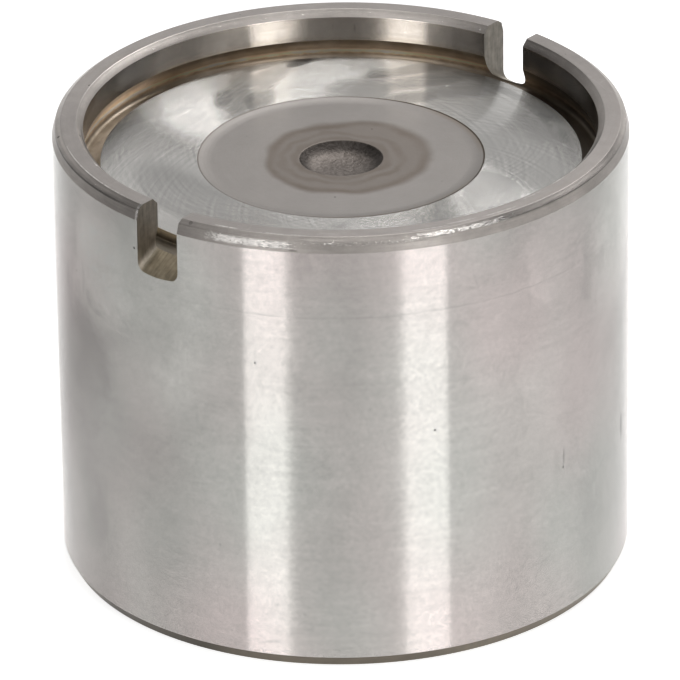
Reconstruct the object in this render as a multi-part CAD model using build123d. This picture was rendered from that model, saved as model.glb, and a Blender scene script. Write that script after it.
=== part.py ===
from build123d import *
import os
from math import cos, radians, sin

# A bucket tappet that takes its adjusting shim on top, standing on its open end.
# It is one forged, turned and ground piece of steel. Millimetres, +Z out of the crown.
# The origin is on the axis in the plane of the open end, and X runs along the two slots.

# Skirt: the ground cylinder that slides in its guide
tappet_diameter = 37.0
tappet_height = 30.1
skirt_wall = 2.1
foot_chamfer_width = 0.38
foot_chamfer_height = 0.70
skirt_mouth_chamfer = 0.5

# Rim round the shim, with a steep lead of two facets on its outside
lead_nose_width = 0.36
lead_nose_height = 0.25
lead_flank_width = 0.19
lead_flank_height = 0.66
rim_mouth_chamfer = 0.43

# Recess that holds the shim
shim_diameter = 32.95
shim_clearance = 0.025
recess_depth = 2.84
seat_diameter = 30.96

# Relief groove in the corner of the recess
groove_top_drop = 2.07
groove_undercut = 0.5
groove_depth = 0.70
groove_corner_radius = 0.3

# Shallow disc inside the seat, and the forging mark in its middle
disc_diameter = 18.48
disc_depth = 0.12
disc_ramp_width = 0.65
disc_ramp_radius = 3.0
dimple_diameter = 5.4
dimple_depth = 0.75

# Web under the recess, and the pad that meets the valve stem
web_thickness = 3.1
web_corner_radius = 2.0
pad_diameter = 10.0
pad_height = 1.1
pad_chamfer = 0.3
pad_root_chamfer = 0.4

# Slots for prising the shim out, cut in one line that passes a little beside the axis
slot_width = 3.25
slot_offset = -0.27
slot_depth = 4.41
slot_slope = 30.0
slot_floor_sag = 0.12
slot_corner_radius = 0.5

outer_radius = tappet_diameter / 2
skirt_bore_radius = outer_radius - skirt_wall
recess_radius = shim_diameter / 2 + shim_clearance
seat_radius = seat_diameter / 2
seat_height = tappet_height - recess_depth
disc_radius = disc_diameter / 2
disc_height = seat_height - disc_depth
web_underside = seat_height - web_thickness
sharp = 0


def skirt_corners():
    """Corners of the open end, from the inside of the skirt to its ground outside."""
    return [
        ((skirt_bore_radius, skirt_mouth_chamfer), sharp),
        ((skirt_bore_radius + skirt_mouth_chamfer, 0), sharp),
        ((outer_radius - foot_chamfer_width, 0), sharp),
        ((outer_radius, foot_chamfer_height), sharp),
    ]


def rim_corners():
    """Corners of the rim: the lead, the flat land and the mouth of the recess."""
    nose_radius = outer_radius - lead_flank_width
    return [
        ((outer_radius, tappet_height - lead_nose_height - lead_flank_height), sharp),
        ((nose_radius, tappet_height - lead_nose_height), sharp),
        ((nose_radius - lead_nose_width, tappet_height), sharp),
        ((recess_radius + rim_mouth_chamfer, tappet_height), sharp),
        ((recess_radius, tappet_height - rim_mouth_chamfer), sharp),
    ]


def recess_corners():
    """Corners of the relief groove, the seat of the shim and the shallow disc, to the axis."""
    groove_floor = seat_height - groove_depth
    return [
        ((recess_radius, tappet_height - groove_top_drop), sharp),
        ((recess_radius + groove_undercut, groove_floor), groove_corner_radius),
        ((seat_radius, groove_floor), sharp),
        ((seat_radius, seat_height), sharp),
        ((disc_radius, seat_height), sharp),
        ((disc_radius - disc_ramp_width, disc_height), disc_ramp_radius),
        ((0, disc_height), sharp),
    ]


def underside_corners():
    """Corners of the stem pad and the underside of the web, from the axis to the skirt."""
    pad_radius = pad_diameter / 2
    pad_face = web_underside - pad_height
    return [
        ((0, pad_face), sharp),
        ((pad_radius - pad_chamfer, pad_face), sharp),
        ((pad_radius, pad_face + pad_chamfer), sharp),
        ((pad_radius, web_underside - pad_root_chamfer), sharp),
        ((pad_radius + pad_root_chamfer, web_underside), sharp),
        ((skirt_bore_radius, web_underside), web_corner_radius),
    ]


def turned_blank():
    """The body of revolution, from its half section."""
    corners = skirt_corners() + rim_corners() + recess_corners() + underside_corners()
    points = [point for point, _ in corners]
    radii = [radius for _, radius in corners]
    with BuildPart() as blank:
        with BuildSketch(Plane.XZ):
            with BuildLine():
                FilletPolyline(*points, radius=radii, close=True)
            make_face()
        revolve(axis=Axis.Z)
    return blank.part


def forging_mark():
    """The spherical cap that leaves the dimple in the middle of the disc."""
    rim_radius = dimple_diameter / 2
    ball_radius = (rim_radius**2 + dimple_depth**2) / (2 * dimple_depth)
    return Pos(0, 0, disc_height - dimple_depth + ball_radius) * Sphere(ball_radius)


def slot_cutter(side):
    """The path of the cutter through the rim at +X (side 1) or -X (side -1).

    Its floor falls outwards, and is slightly hollow across, with rounded corners.
    """
    slope = radians(slot_slope)
    half_width = slot_width / 2
    cut_plane = Plane(
        origin=(side * outer_radius, slot_offset, tappet_height - slot_depth),
        x_dir=(0, side, 0),
        z_dir=(side * cos(slope), 0, -sin(slope)),
    )
    with BuildPart() as cutter:
        with BuildSketch(cut_plane):
            with BuildLine():
                floor = ThreePointArc((-half_width, slot_floor_sag), (0, 0), (half_width, slot_floor_sag))
                Polyline(floor @ 1, (half_width, tappet_height), (-half_width, tappet_height), floor @ 0)
            profile = make_face()
            fillet(profile.vertices().group_by(Axis.Y)[0], slot_corner_radius)
        extrude(amount=outer_radius, both=True)
    return cutter.part


def tappet_body():
    """The finished tappet."""
    body = turned_blank() - forging_mark()
    for side in (1, -1):
        body -= slot_cutter(side)
    return body


os.makedirs("parts", exist_ok=True)
export_step(tappet_body(), "parts/tappet_body.step")
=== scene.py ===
# %% [markdown]
# # A bucket tappet in ground steel
#
# A tappet is a small steel cup that stands between a camshaft and a valve. This one carries a
# loose adjusting shim in the recess on its top, and two slots in the rim let a tool prise the
# shim out. It was forged, turned on a lathe, milled for the slots and then ground.
#
# Nearly all of its shape is one outline turned round an axis, so most of this lesson is about
# two things: a crisp outline with small believable edges, and the marks that each tool left.

# %% Load the fixed frame
import math

import bpy
import numpy as np
from mathutils import Matrix, Vector


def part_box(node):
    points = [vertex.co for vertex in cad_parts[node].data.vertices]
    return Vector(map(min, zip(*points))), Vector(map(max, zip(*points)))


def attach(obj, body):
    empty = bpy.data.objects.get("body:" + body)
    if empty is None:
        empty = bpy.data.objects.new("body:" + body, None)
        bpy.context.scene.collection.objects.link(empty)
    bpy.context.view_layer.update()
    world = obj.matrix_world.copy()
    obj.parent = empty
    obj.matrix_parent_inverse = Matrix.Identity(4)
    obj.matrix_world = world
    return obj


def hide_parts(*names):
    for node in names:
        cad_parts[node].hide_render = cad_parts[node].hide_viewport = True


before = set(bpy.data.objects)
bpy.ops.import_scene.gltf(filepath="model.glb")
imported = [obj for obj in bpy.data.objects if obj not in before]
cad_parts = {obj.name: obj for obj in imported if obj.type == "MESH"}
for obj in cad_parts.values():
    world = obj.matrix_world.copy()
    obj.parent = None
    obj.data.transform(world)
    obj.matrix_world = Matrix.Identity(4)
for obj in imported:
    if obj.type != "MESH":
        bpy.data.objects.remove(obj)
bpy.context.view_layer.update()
body_low, body_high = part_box("tappet_body")
MM = 0.001
outer_radius = (body_high.x - body_low.x) / 2 / MM
total_height = (body_high.z - body_low.z) / MM
print("outer radius", round(outer_radius, 3), "mm, height", round(total_height, 3), "mm")

# %% [markdown]
# ## The camera
#
# The picture was taken from some distance with a long lens, about 26 degrees above the table,
# so the round edges show as nearly true ellipses. A camera is placed by three directions:
# where it looks, its right and its up. The turn is the angle between the slots and the lens.

# %% Camera
camera_turn = math.radians(39.8)
camera_fall = math.radians(26.166)
camera_roll = math.radians(-0.7395)
camera_distance = 0.53533
camera_target = Vector((0, 0, 0.015))

look = Vector(
    (
        math.cos(camera_turn) * math.cos(camera_fall),
        math.sin(camera_turn) * math.cos(camera_fall),
        -math.sin(camera_fall),
    )
)
level_right = Vector((math.sin(camera_turn), -math.cos(camera_turn), 0))
level_up = level_right.cross(look)
camera_right = math.cos(camera_roll) * level_right + math.sin(camera_roll) * level_up
camera_up = camera_right.cross(look)

lens = bpy.data.cameras.new("camera")
lens.lens = 437.14
lens.sensor_width = 36.0
lens.shift_x = -0.00484
lens.shift_y = -0.01822
lens.clip_start = 0.01
lens.clip_end = 50.0
camera = bpy.data.objects.new("camera", lens)
axes = Matrix((camera_right, camera_up, -look)).transposed().to_4x4()
camera.matrix_world = Matrix.Translation(camera_target - camera_distance * look) @ axes
bpy.context.scene.collection.objects.link(camera)
bpy.context.scene.camera = camera
bpy.context.scene.view_settings.view_transform = "Standard"
print("camera at", [round(value, 4) for value in camera.location])

# %% [markdown]
# ## Directions
#
# The lamps, the room and many marks are placed as the camera sees them: to the right, away
# from it, or at a turn round the axis that is 0 at the front and grows to the right.


# %% Directions
right_x, right_y = math.sin(camera_turn), -math.cos(camera_turn)
away_x, away_y = math.cos(camera_turn), math.sin(camera_turn)


def seen_from_tappet(turn, climb):
    """The direction at a turn from the camera's side and a climb, both in degrees."""
    angle = camera_turn + math.pi + math.radians(turn)
    rise = math.radians(climb)
    level = Vector((math.cos(angle), math.sin(angle), 0)) * math.cos(rise)
    return level + Vector((0, 0, math.sin(rise)))


print("right", (round(right_x, 3), round(right_y, 3)), "away", (round(away_x, 3), round(away_y, 3)))

# %% [markdown]
# ## Small helpers for nodes
#
# Every finish below is a node tree. It could be drawn by hand in the editor, but written down
# it can be read and changed. The helpers are short names for the steps that come back most.
# A node goes into the tree of the sockets that feed it, so most calls need not name a tree.


# %% Sums of values
def add_node(kind, inputs=None, tree=None, **settings):
    """Adds a node, sets its properties, and links or sets its inputs by name or number.

    It goes into the tree that is named, or else into the tree of the first linked input.
    """
    inputs = inputs or {}
    links = {
        name: value for name, value in inputs.items() if isinstance(value, bpy.types.NodeSocket)
    }
    tree = tree or next(iter(links.values())).id_data
    node = tree.nodes.new(kind)
    for name, value in settings.items():
        setattr(node, name, value)
    for name, value in inputs.items():
        if name in links:
            tree.links.new(value, node.inputs[name])
        else:
            node.inputs[name].default_value = value
    return node


def calculate(operation, first, second=0.0, third=0.0, clamp=False):
    """The result of one Math node."""
    inputs = {0: first, 1: second, 2: third}
    return add_node("ShaderNodeMath", inputs, operation=operation, use_clamp=clamp).outputs[0]


def plus(first, second):
    """Two values added."""
    return calculate("ADD", first, second)


def minus(first, second, clamp=False):
    """The second value taken from the first."""
    return calculate("SUBTRACT", first, second, clamp=clamp)


def times(first, second, clamp=False):
    """Two values multiplied."""
    return calculate("MULTIPLY", first, second, clamp=clamp)


def times_plus(value, factor, offset, clamp=False):
    """A value multiplied by a factor, with an offset added."""
    return calculate("MULTIPLY_ADD", value, factor, offset, clamp)


def without_sign(value):
    """How large a value is, above or below 0."""
    return calculate("ABSOLUTE", value)


def largest(*values):
    """The largest of several values."""
    total = values[0]
    for value in values[1:]:
        total = calculate("MAXIMUM", total, value)
    return total


print("sums ready")


# %% Vectors and places
def vector_of(x, y, z):
    """Three values made into one vector."""
    return add_node("ShaderNodeCombineXYZ", {0: x, 1: y, 2: z}).outputs[0]


def parts_of(vector):
    """The X, Y and Z of a vector."""
    return add_node("ShaderNodeSeparateXYZ", {0: vector}).outputs


def object_spot(tree):
    """Where a point lies on the object, in metres."""
    return add_node("ShaderNodeTexCoord", tree=tree).outputs["Object"]


def level_distance(parts):
    """The distance of a point from the upright axis, in metres."""
    flat = vector_of(parts["X"], parts["Y"], 0.0)
    return add_node("ShaderNodeVectorMath", {0: flat}, operation="LENGTH").outputs["Value"]


def vector_step(operation, first, second=(0.0, 0.0, 0.0)):
    """The vector that one Vector Math node gives."""
    inputs = {0: first, 1: second}
    return add_node("ShaderNodeVectorMath", inputs, operation=operation).outputs[0]


def stretched(vector, scale):
    """A vector made longer or shorter by a value."""
    inputs = {0: vector, "Scale": scale}
    return add_node("ShaderNodeVectorMath", inputs, operation="SCALE").outputs[0]


def towards(parts, x_share, y_share):
    """How far a point lies in one level direction, given by its X and Y."""
    return times_plus(parts["Y"], y_share, times(parts["X"], x_share))


print("vectors ready")


# %% Ranges, colours and noise
def remap(value, low, high, to_low=0.0, to_high=1.0, smooth=False):
    """A value stretched from one range to another, and kept inside it."""
    kind = "SMOOTHSTEP" if smooth else "LINEAR"
    inputs = {
        "Value": value, "From Min": low, "From Max": high, "To Min": to_low, "To Max": to_high
    }
    node = add_node("ShaderNodeMapRange", inputs, interpolation_type=kind)
    return node.outputs["Result"]


def fade(value, low, high, to_low=0.0, to_high=1.0):
    """A value stretched from one range to another, with a soft start and a soft end."""
    return remap(value, low, high, to_low, to_high, smooth=True)


def blend_values(share, first, second):
    """Two values mixed by a share from 0 to 1."""
    return add_node("ShaderNodeMix", {0: share, 2: first, 3: second}).outputs[0]


def mix_colours(share, first, second):
    """Two colours mixed by a share from 0 to 1."""
    inputs = {0: share, 6: first, 7: second}
    return add_node("ShaderNodeMix", inputs, data_type="RGBA").outputs[2]


def grains(vector, scale, detail=2.0, roughness=0.5, distortion=0.0):
    """A Noise Texture value, near 0.5 on average."""
    inputs = {
        "Vector": vector,
        "Scale": scale,
        "Detail": detail,
        "Roughness": roughness,
        "Distortion": distortion,
    }
    return add_node("ShaderNodeTexNoise", inputs).outputs["Fac"]


def noise_4d(vector, fourth, scale, detail, roughness=0.5):
    """A Noise Texture value that also changes with a fourth number, such as a seed."""
    inputs = {
        "Vector": vector, "W": fourth, "Scale": scale, "Detail": detail, "Roughness": roughness
    }
    return add_node("ShaderNodeTexNoise", inputs, noise_dimensions="4D").outputs["Fac"]


print("ranges, colours and noise ready")


# %% Node groups
def start_group(name, inputs, outputs):
    """A new shader group. Outputs map a name to its kind, inputs to its kind and its value."""
    group = bpy.data.node_groups.new(name, "ShaderNodeTree")
    for label, (kind, value) in inputs.items():
        socket = group.interface.new_socket(label, in_out="INPUT", socket_type=kind)
        socket.default_value = value
    for label, kind in outputs.items():
        group.interface.new_socket(label, in_out="OUTPUT", socket_type=kind)
    entry = group.nodes.new("NodeGroupInput")
    leave = group.nodes.new("NodeGroupOutput")
    return group, entry.outputs, leave


def use_group(tree, group, inputs=None):
    """Places a node group in a tree, with its own values, and returns its outputs."""
    return add_node("ShaderNodeGroup", inputs, tree, node_tree=group).outputs


NUMBER = "NodeSocketFloat"
VECTOR = "NodeSocketVector"
print("node groups ready")

# %% [markdown]
# ## The table and the room
#
# Polished steel has almost no look of its own: it shows the room. So the room comes first.
# The table is a wide pale plane. A picture of a table could be laid on it, but the steel only
# needs its brightness, so the paint is one grey with a slow change across it. To the camera the
# table glows up to white, and to the metal it glows only close to the foot and behind, where
# the paper of a real set bends up.


# %% Table
table_half = 4.0
table_drop = 0.00002


def table_plane(half_side):
    """A flat square just below the foot of the tappet."""
    corners = [
        (-half_side, -half_side),
        (half_side, -half_side),
        (half_side, half_side),
        (-half_side, half_side),
    ]
    mesh = bpy.data.meshes.new("table")
    mesh.from_pydata([(x, y, -table_drop) for x, y in corners], [], [(0, 1, 2, 3)])
    table = bpy.data.objects.new("table", mesh)
    bpy.context.scene.collection.objects.link(table)
    return table


table = table_plane(table_half)
table_paint = bpy.data.materials.new("table_paint")
table_paint.use_nodes = True
tree = table_paint.node_tree
shader = tree.nodes["Principled BSDF"]
shader.inputs["Roughness"].default_value = 0.8
spot = parts_of(object_spot(tree))
to_right = towards(spot, right_x, right_y)
behind = towards(spot, away_x, away_y)
# The grey is painted light for the steel to mirror: it changes in four soft steps along a slanted
# line
slanted = times_plus(behind, -0.6, to_right)
grey = fade(slanted, -0.046, -0.028, 0.36, 0.8)
grey = plus(grey, fade(slanted, -0.085, -0.052, 0.5, 0))
grey = minus(grey, fade(slanted, -0.015, 0.01, 0, 0.1))
grey = plus(grey, fade(slanted, 0.018, 0.045, 0, 0.1))
tree.links.new(vector_of(grey, grey, grey), shader.inputs["Base Color"])

# What glows to the camera, and what glows to the metal
rays = add_node("ShaderNodeLightPath", tree=tree).outputs
seen = largest(rays["Is Glossy Ray"], rays["Is Transmission Ray"])
camera_glow = times(rays["Is Camera Ray"], 0.75)
# Behind the tappet the glow opens like a fan, by these shares of sideways and away
aside = times_plus(behind, -0.4067, times(without_sign(to_right), 0.9135))
metal_glow = times(fade(aside, 0.013, 0.0205, 1, 0), fade(behind, -0.01, -0.004))
from_axis = level_distance(spot)
foot_glow = fade(from_axis, 0.0185, 0.05, 0.52, 0.06)
foot_glow = times(foot_glow, fade(slanted, -0.04, -0.02, 0.2, 1))
metal_glow = plus(metal_glow, foot_glow)
table_glow = times_plus(seen, metal_glow, camera_glow)
shader.inputs["Emission Color"].default_value = (1, 1, 1, 1)
tree.links.new(table_glow, shader.inputs["Emission Strength"])
table.data.materials.append(table_paint)
print("table side", 2 * table_half, "m")

# %% [markdown]
# ## The room round the table
#
# A room could be built of walls and lamps, or a picture of one could light the scene. A few
# soft steps in the world's own nodes do the same with less: the room is brighter behind the
# tappet than in front of it, brighter at the horizon than higher up, and it glows a little
# round each lamp. The camera itself sees plain white.

# %% World
world = bpy.data.worlds.new("studio")
world.use_nodes = True
bpy.context.scene.world = world
tree = world.node_tree
background = tree.nodes["Background"]
direction = add_node("ShaderNodeTexCoord", tree=tree).outputs["Generated"]
axis_parts = parts_of(direction)
height_share = axis_parts["Z"]
away = towards(axis_parts, away_x, away_y)
rightward = towards(axis_parts, right_x, right_y)
rays = add_node("ShaderNodeLightPath", tree=tree).outputs
# Brightness near the horizon and higher up, blended from the front, the sides and the back
from_back = fade(away, 0.35, 0.97)
low_back = fade(away, -0.1, 0.9)
sideways = fade(without_sign(rightward), 0.3, 0.9)
low_side = remap(rightward, -0.8, 0.8, 0.11, 0.3)
low_front = blend_values(sideways, 0.26, low_side)
low = blend_values(low_back, low_front, 0.8)
low = times(low, fade(rightward, -0.75, -0.35, 0.55, 1))
high_front = remap(rightward, -0.8, 0.8, 0.03, 0.17)
high = remap(from_back, 0, 1, high_front, 0.6)
climb = fade(height_share, 0.05, 0.3)
top = fade(height_share, 0.75, 0.95)
room = blend_values(climb, low, high)
room = blend_values(top, room, 0.55)

# The glow that each lamp throws on the room: turn, climb, closeness from none to full, strength
for turn, climb, start, full, strength in (
    (-34, 20, 0.76, 0.98, 0.6),
    (33, 20, 0.78, 0.98, 0.6),
    (-160, 48, 0.88, 0.98, 0.22),
    (178, 46, 0.9, 0.99, 0.15),
):
    inputs = {0: direction, 1: seen_from_tappet(turn, climb)}
    closeness = add_node("ShaderNodeVectorMath", inputs, operation="DOT_PRODUCT").outputs["Value"]
    room = plus(room, fade(closeness, start, full, 0, strength))

# The camera sees white, the metal sees the room, and dull faces get a share of its light
light_level = 0.6
not_glossy = times(room, light_level)
is_glossy = largest(rays["Is Glossy Ray"], rays["Is Transmission Ray"])
lit = blend_values(is_glossy, not_glossy, room)
strength = blend_values(rays["Is Camera Ray"], lit, 1)
background.inputs["Color"].default_value = (1, 1, 1, 1)
tree.links.new(strength, background.inputs["Strength"])
print("world ready")

# %% [markdown]
# ## The lamps
#
# Two tall, narrow soft boxes stand left and right of the camera. On a round wall each shows as
# one upright bright band, because the grinding marks run round the wall and smear a reflection
# up and down but not sideways. Two more panels stand high behind the tappet. The flat faces on
# top show those, as one bright wedge on each side of the seat. Area lamps are used, because
# their edges stay soft and their width sets the width of the bands.


# %% Lamps
def soft_box(name, turn, climb, wide, tall, brightness):
    """A flat light a metre away that faces the tappet.

    Its turn, climb, width and height are angles in degrees, as the tappet sees them.
    """
    place = seen_from_tappet(turn, climb) + Vector((0, 0, 0.02))
    lamp = bpy.data.lights.new(name, "AREA")
    lamp.shape = "RECTANGLE"
    lamp.size = 2 * math.tan(math.radians(wide) / 2)
    lamp.size_y = 2 * math.tan(math.radians(tall) / 2)
    lamp.energy = brightness * math.pi * lamp.size * lamp.size_y
    holder = bpy.data.objects.new(name, lamp)
    holder.location = place
    holder.rotation_euler = (-place).to_track_quat("-Z", "Y").to_euler()
    holder.visible_camera = False
    bpy.context.scene.collection.objects.link(holder)
    return holder


# Name, turn, climb, width, height and brightness
lamps = [
    soft_box("strip_left", -30.4, 28, 16.2, 42, 2.9),
    soft_box("strip_right", 31.8, 28, 16.8, 42, 2.8),
    soft_box("back_panel", 144, 44, 28, 16, 9),
    soft_box("high_panel", 177, 62, 12, 15, 8.5),
]
print("lamps", [lamp.name for lamp in lamps])

# %% [markdown]
# ## The outline
#
# The tappet is turned, so its shape is one half section swept round the axis. The corners are
# written down once, in millimetres from the axis and from the table, each with a small
# rounding: no real edge is sharp, and those narrow rounds are what catches the light.
#
# Each corner names the finish of the stretch that starts there. The sizes on top of the crown
# and at the foot are read from the picture. Those inside are what such tappets have.

# %% Sizes in millimetres
recess_depth = 2.84
recess_radius = 16.5
mouth_chamfer = 0.43
lead_width, lead_height = 0.55, 0.91
flank_width, nose_height = 0.19, 0.25
groove_drop = 2.07
groove_depth, groove_undercut = 0.70, 0.5
seat_radius = 15.48
disc_radius, disc_depth, disc_ramp = 9.24, 0.12, 0.65
dimple_radius, dimple_depth = 2.7, 0.75
foot_width, foot_height = 0.38, 0.70
skirt_wall, skirt_chamfer = 2.1, 0.5
web_thickness, web_round = 3.1, 2.0
pad_radius, pad_thickness, pad_chamfer, pad_root = 5.0, 1.1, 0.3, 0.4

seat_height = total_height - recess_depth
disc_height = seat_height - disc_depth
groove_floor = seat_height - groove_depth
web_height = seat_height - web_thickness
pad_height = web_height - pad_thickness
skirt_bore = outer_radius - skirt_wall
print("seat", round(seat_height, 2), "disc", round(disc_height, 2), "pad", round(pad_height, 2))

# %% Outline of the half section
dimple_rings = [0.0, 0.4, 0.8, 1.2, 1.5, 1.8, 2.0, 2.2, 2.35, 2.5, 2.6]
dimple_steepness = 4


def dimple_floor(radius):
    """Height of the forged dimple at a distance from the axis: a flat floor and a steeper wall."""
    return disc_height - dimple_depth * (1 - (radius / dimple_radius) ** dimple_steepness)


# Each corner is its distance from the axis, its height, its rounding and its finish
corners = [(radius, dimple_floor(radius), 0, "dimple") for radius in dimple_rings]
corners += [
    (dimple_radius, disc_height, 0.07, "disc"),
    (6.0, disc_height, 0, "disc"),
    (disc_radius - disc_ramp, disc_height, 3.0, "disc"),
    (disc_radius, seat_height, 0.03, "seat"),
    (12.4, seat_height, 0, "seat"),
    (seat_radius, seat_height, 0.04, "groove"),
    (seat_radius, groove_floor, 0.08, "groove"),
    (recess_radius + groove_undercut, groove_floor, 0.3, "groove"),
    (recess_radius, total_height - groove_drop, 0.03, "bore"),
    (recess_radius, total_height - mouth_chamfer, 0.06, "rim"),
    (recess_radius + mouth_chamfer, total_height, 0.06, "land"),
    (outer_radius - lead_width, total_height, 0.07, "rim"),
    (outer_radius - flank_width, total_height - nose_height, 0.09, "rim"),
    (outer_radius, total_height - lead_height, 0.10, "skirt"),
    (outer_radius, foot_height, 0.08, "foot"),
    (outer_radius - foot_width, 0.0, 0.07, "foot"),
    (skirt_bore + skirt_chamfer, 0.0, 0.07, "inside"),
    (skirt_bore, skirt_chamfer, 0.10, "inside"),
    (skirt_bore, web_height, web_round, "inside"),
    (pad_radius + pad_root, web_height, 0.2, "inside"),
    (pad_radius, web_height - pad_root, 0.2, "inside"),
    (pad_radius, pad_height + pad_chamfer, 0.05, "pad"),
    (pad_radius - pad_chamfer, pad_height, 0.05, "pad"),
    (pad_radius / 2, pad_height, 0, "pad"),
    (0.0, pad_height, 0, "pad"),
]


arc_step = math.radians(22)
support_reach = 0.03


def round_off(before, corner, after, radius):
    """Points of the arc that replaces one corner, with a support point on either side."""
    here = np.array(corner[:2])
    back = np.array(before[:2]) - here
    ahead = np.array(after[:2]) - here
    back /= np.linalg.norm(back)
    ahead /= np.linalg.norm(ahead)
    opening = math.acos(np.clip(back @ ahead, -1, 1))
    turn = math.pi - opening
    reach = radius * math.tan(turn / 2)
    middle = back + ahead
    middle *= radius / math.cos(turn / 2) / np.linalg.norm(middle)
    centre = here + middle
    steps = max(2, round(turn / arc_step))
    start = here + back * reach - centre
    finish = here + ahead * reach - centre
    arc = []
    for step in range(steps + 1):
        share = step / steps
        spoke = start * math.sin((1 - share) * turn) + finish * math.sin(share * turn)
        arc.append(centre + spoke / math.sin(turn))
    support = min(support_reach, radius)
    return [here + back * (reach + support)] + arc + [here + ahead * (reach + support)]


def finished_outline(corners):
    """The whole outline as points, each with the finish of the stretch that follows it."""
    points = []
    for index, corner in enumerate(corners):
        radius = corner[2]
        if radius == 0:
            points.append((corner[0], corner[1], corner[3]))
            continue
        before, after = corners[index - 1], corners[index + 1]
        rounded = round_off(before, corner, after, radius)
        half = len(rounded) // 2
        for step, point in enumerate(rounded):
            points.append((point[0], point[1], before[3] if step < half else corner[3]))
    return points


outline = finished_outline(corners)
print("outline points", len(outline))

# %% [markdown]
# ## Turning the outline
#
# Every point of the outline becomes a ring of vertices, and neighbouring rings are joined by
# four-sided faces. The two ends of the outline lie on the axis, so each becomes one vertex
# with a fan round it. A finish is only a number on a face here; the nodes come later.

# %% Turned blank
finish_names = [
    "dimple",
    "disc",
    "seat",
    "groove",
    "bore",
    "rim",
    "land",
    "skirt",
    "foot",
    "inside",
    "pad",
    "slot",
]
finishes = {name: bpy.data.materials.new("steel_" + name) for name in finish_names}
around = 720


def turned_mesh(points, around):
    """The closed surface that the outline sweeps round the axis."""
    angles = np.arange(around) * 2 * math.pi / around
    rings = points[1:-1]
    places = [(0, 0, points[0][1] * MM)]
    for radius, height, _ in rings:
        ring = np.stack(
            [np.cos(angles) * radius, np.sin(angles) * radius, np.full(around, height)], 1
        )
        places += [tuple(place) for place in ring * MM]
    places.append((0.0, 0.0, points[-1][1] * MM))
    last = len(places) - 1
    faces = []
    kinds = []
    for step in range(around):
        after = (step + 1) % around
        faces.append((0, 1 + step, 1 + after))
        kinds.append(finish_names.index(points[0][2]))
    for row in range(len(rings) - 1):
        low = 1 + row * around
        kind = finish_names.index(rings[row][2])
        for step in range(around):
            after = (step + 1) % around
            faces.append((low + step, low + around + step, low + around + after, low + after))
            kinds.append(kind)
    low = 1 + (len(rings) - 1) * around
    for step in range(around):
        after = (step + 1) % around
        faces.append((low + step, last, low + after))
        kinds.append(finish_names.index(rings[-1][2]))
    mesh = bpy.data.meshes.new("tappet")
    mesh.from_pydata(places, [], faces)
    for name in finish_names:
        mesh.materials.append(finishes[name])
    mesh.polygons.foreach_set("material_index", kinds)
    mesh.update()
    return mesh


tappet = bpy.data.objects.new("tappet", turned_mesh(outline, around))
bpy.context.scene.collection.objects.link(tappet)
print("blank faces", len(tappet.data.polygons))

# %% [markdown]
# ## Milling the slots
#
# A cutter the shape of the milled path is laid through the rim on each side, and a Boolean
# takes it away. Its floor falls outwards by 30 degrees, is slightly hollow across and has
# rounded corners, as a worn end mill leaves it. The cut faces keep the cutter's own finish.

# %% Slots
slot_width, slot_depth = 3.25, 4.41
slot_half = slot_width / 2
slot_offset = -0.27
slot_bottom = total_height - slot_depth
slot_fall = math.radians(30)
slot_sag, slot_corner = 0.12, 0.5
cutter_top, cutter_reach = 20.0, 15.0


def slot_section():
    """The path's cross-section: sag in the middle, rounded corners, open at the top."""
    flat_half = slot_half - slot_corner
    flat = [(share * flat_half, slot_sag * (share**2) * 0.5) for share in np.linspace(-1, 1, 9)]
    bend = []
    for angle in np.linspace(0, math.pi / 2, 7)[1:]:
        across = flat_half + slot_corner * math.sin(angle)
        up = slot_sag * 0.5 + (slot_corner + slot_sag * 0.3) * (1 - math.cos(angle))
        bend.append((across, up))
    left = [(-across, up) for across, up in reversed(bend)]
    return left + flat + bend + [(slot_half, cutter_top), (-slot_half, cutter_top)]


def slot_cutter(side):
    """A long prism along the cut, through the rim at +X (side 1) or -X (side -1)."""
    origin = Vector((side * outer_radius, slot_offset, slot_bottom))
    across = Vector((0, side, 0))
    along = Vector((side * math.cos(slot_fall), 0, -math.sin(slot_fall)))
    up = along.cross(across)
    section = slot_section()
    count = len(section)
    places = []
    for reach in (-cutter_reach, cutter_reach):
        for x, y in section:
            places.append((origin + across * x + up * y + along * reach) * MM)
    faces = [tuple(reversed(range(count))), tuple(range(count, 2 * count))]
    for index in range(count):
        after = (index + 1) % count
        faces.append((index, after, count + after, count + index))
    mesh = bpy.data.meshes.new("cutter")
    mesh.from_pydata(places, [], faces)
    for name in finish_names:
        mesh.materials.append(finishes[name])
    mesh.polygons.foreach_set("material_index", [finish_names.index("slot")] * len(faces))
    mesh.update()
    cutter = bpy.data.objects.new("cutter", mesh)
    bpy.context.scene.collection.objects.link(cutter)
    return cutter


cutters = [slot_cutter(side) for side in (1, -1)]
for cutter in cutters:
    cut = tappet.modifiers.new("slot", "BOOLEAN")
    cut.operation = "DIFFERENCE"
    cut.solver = "EXACT"
    cut.object = cutter
evaluated = tappet.evaluated_get(bpy.context.evaluated_depsgraph_get())
milled = bpy.data.meshes.new_from_object(evaluated)
tappet.modifiers.clear()
tappet.data = milled
for cutter in cutters:
    bpy.data.objects.remove(cutter)
print("milled faces", len(milled.polygons), "vertices", len(milled.vertices))

# %% [markdown]
# ## Smooth faces, sharp cuts
#
# A turned face is one smooth surface, while a milled edge is a true corner. Smooth shading with
# an angle limit gives both: the rounds of the outline turn by less than the limit from face to
# face, and the edges of the slots by more.

# %% Smooth faces, sharp cuts
sharp_from = math.radians(32)
milled.shade_smooth()
milled.set_sharp_from_angle(angle=sharp_from)
print("shaded smooth")

# %% [markdown]
# ## Where a point is on a round part
#
# Marks on a turned part follow its axis, so most masks below are drawn in three numbers: the
# distance from the axis, the height above the table, and the turn round the axis. The turn is
# counted from the side that faces the camera, and grows to the right. One group works them out.


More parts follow.
